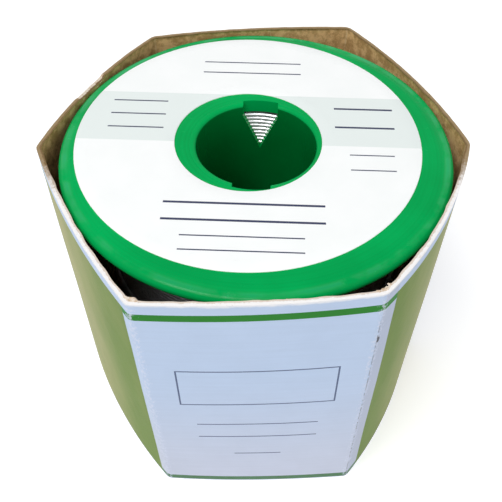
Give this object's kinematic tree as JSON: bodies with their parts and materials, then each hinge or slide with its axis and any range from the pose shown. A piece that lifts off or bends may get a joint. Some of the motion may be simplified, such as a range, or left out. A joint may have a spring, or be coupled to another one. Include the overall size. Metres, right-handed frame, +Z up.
{
  "type": "solder wire spool",
  "caption": "Solder wire level wound on a green plastic spool with a round spindle bore, standing in an open six-sided board carton that it lifts out of.",
  "frame": {"origin": "centre of the carton's base, on the surface that it stands on", "axes": "+Z up along the spool's axis; -Y out of the printed front panel; X through the carton's two side creases"},
  "size_m": [0.0716, 0.0678, 0.06],
  "materials": {
    "printed_white_board": "satin",
    "printed_green_board": "satin",
    "kraft_board": "matte",
    "green_moulded_plastic": "gloss",
    "label_paper": "satin",
    "solder_wire": "satin"
  },
  "bodies": {
    "carton": {"front_panel": "printed_white_board", "right_front_panel": "printed_green_board", "right_back_panel": "printed_white_board", "back_panel": "printed_green_board", "left_back_panel": "printed_white_board", "left_front_panel": "printed_green_board", "glue_flap": "kraft_board", "base_flap": "kraft_board", "front_dust_flap": "kraft_board", "right_front_dust_flap": "kraft_board", "right_back_dust_flap": "kraft_board", "left_back_dust_flap": "kraft_board", "left_front_dust_flap": "kraft_board"},
    "spool": {"lower_flange": "green_moulded_plastic", "hub_tube": "green_moulded_plastic", "upper_flange": "green_moulded_plastic", "face_label": "label_paper", "first_wire_layer": "solder_wire", "packed_wire_layers": "solder_wire", "outer_wire_layer": "solder_wire", "last_wire_turns": "solder_wire", "free_wire_end": "solder_wire"}
  },
  "joints": [
    {"name": "spool_lift", "type": "slide", "parent": "carton", "child": "spool", "axis": [0, 0, 1], "range_m": [0, 0.062]}
  ]
}
